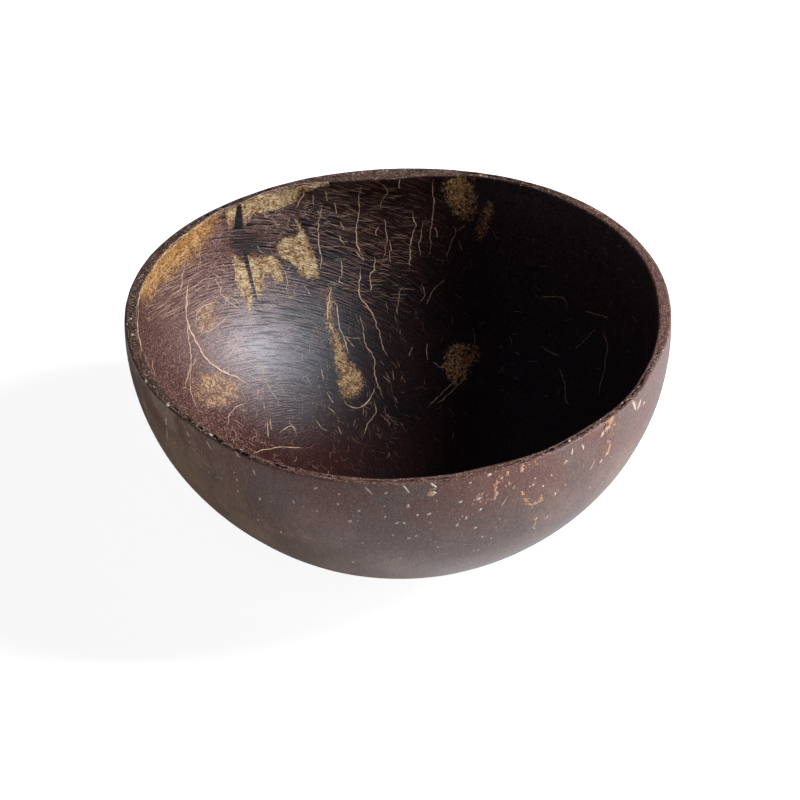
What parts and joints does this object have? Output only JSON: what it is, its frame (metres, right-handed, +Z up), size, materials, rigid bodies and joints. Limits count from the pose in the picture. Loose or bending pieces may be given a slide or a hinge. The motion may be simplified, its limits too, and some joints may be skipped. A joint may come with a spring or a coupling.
{
  "type": "coconut shell bowl",
  "caption": "Round-bottomed drinking-size bowl cut from a half coconut shell, with a flat ground base, a cut rim, and pale skin and fibre left in the wall.",
  "frame": {"origin": "centre of the flat ground base", "axes": "+Z up out of the bowl's mouth; +X to the right and +Y to the back as the picture shows the bowl, with the dark seam at the back left"},
  "size_m": [0.1104, 0.1105, 0.0483],
  "materials": {
    "shell": "oiled satin coconut shell",
    "seam_fibre": "dark smooth fibre",
    "pale_skin": "dry pale inner skin",
    "tan_skin": "oiled tan inner skin",
    "red_skin": "thin red-brown inner skin",
    "fibre": "sanded fibre strand",
    "fleck": "sanded fibre end"
  },
  "bodies": {
    "root": {"shell": "shell", "seam_fibre": "seam_fibre", "rim_skin_left": "tan_skin", "rim_skin_wedge": "pale_skin", "rim_skin_back": "pale_skin", "seam_skin_left": "pale_skin", "seam_skin_right": "pale_skin", "square_skin": "pale_skin", "tail_skin": "tan_skin", "floor_skin": "tan_skin", "back_skin": "tan_skin", "back_skin_strip": "red_skin", "left_skin_spot": "red_skin", "left_skin_low": "red_skin", "left_strands": "fibre", "back_strands": "fibre", "floor_strands": "fibre", "right_strands": "fibre", "outer_flecks": "fleck"}
  },
  "joints": []
}
